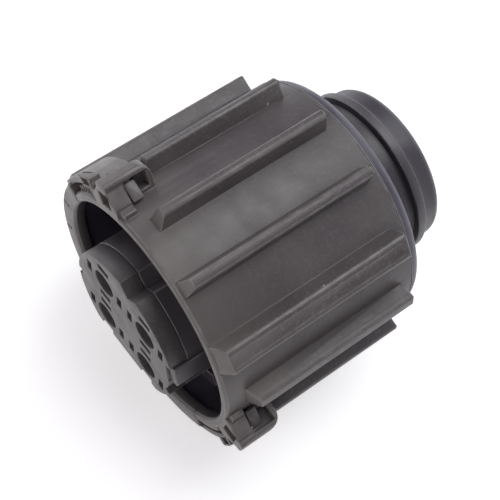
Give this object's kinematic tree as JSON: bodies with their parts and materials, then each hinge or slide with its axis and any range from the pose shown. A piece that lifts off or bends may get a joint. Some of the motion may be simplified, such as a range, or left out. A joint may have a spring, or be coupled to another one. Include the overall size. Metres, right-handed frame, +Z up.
{
  "type": "automotive connector",
  "caption": "Round sealed cable connector with socket contacts in a front carrier and a ribbed twist-lock coupling ring made of clipped halves.",
  "frame": {"origin": "centre of the coupling ring's mouth, in the plane of its front edge", "axes": "+X along the connector's axis from the mating face to the tail; +Z up with the connector lying on two ribs of its ring; +Y to the side"},
  "size_m": [0.0363, 0.0341, 0.0325],
  "materials": {
    "ring_plastic": "satin moulded, warm dark grey",
    "carrier_plastic": "satin moulded, dark grey",
    "seal_rubber": "smooth silicone",
    "contact_metal": "tin plated"
  },
  "bodies": {
    "housing": {"housing": "carrier_plastic", "ring_seal": "seal_rubber", "contact_1": "contact_metal", "contact_2": "contact_metal", "contact_3": "contact_metal", "contact_4": "contact_metal", "wire_seal_1": "seal_rubber", "wire_seal_2": "seal_rubber", "wire_seal_3": "seal_rubber", "wire_seal_4": "seal_rubber"},
    "coupling_ring": {"ring_half_boxes": "ring_plastic", "ring_half_hooks": "ring_plastic"},
    "front_plate": {"front_plate": "carrier_plastic"}
  },
  "joints": [
    {"name": "ring_twist", "type": "hinge", "parent": "housing", "child": "coupling_ring", "pos_m": [0, 0, 0], "axis": [-1, 0, 0], "range_deg": [0, 40]},
    {"name": "plate_pull", "type": "slide", "parent": "housing", "child": "front_plate", "axis": [-1, 0, 0], "range_m": [0, 0.0015]}
  ]
}
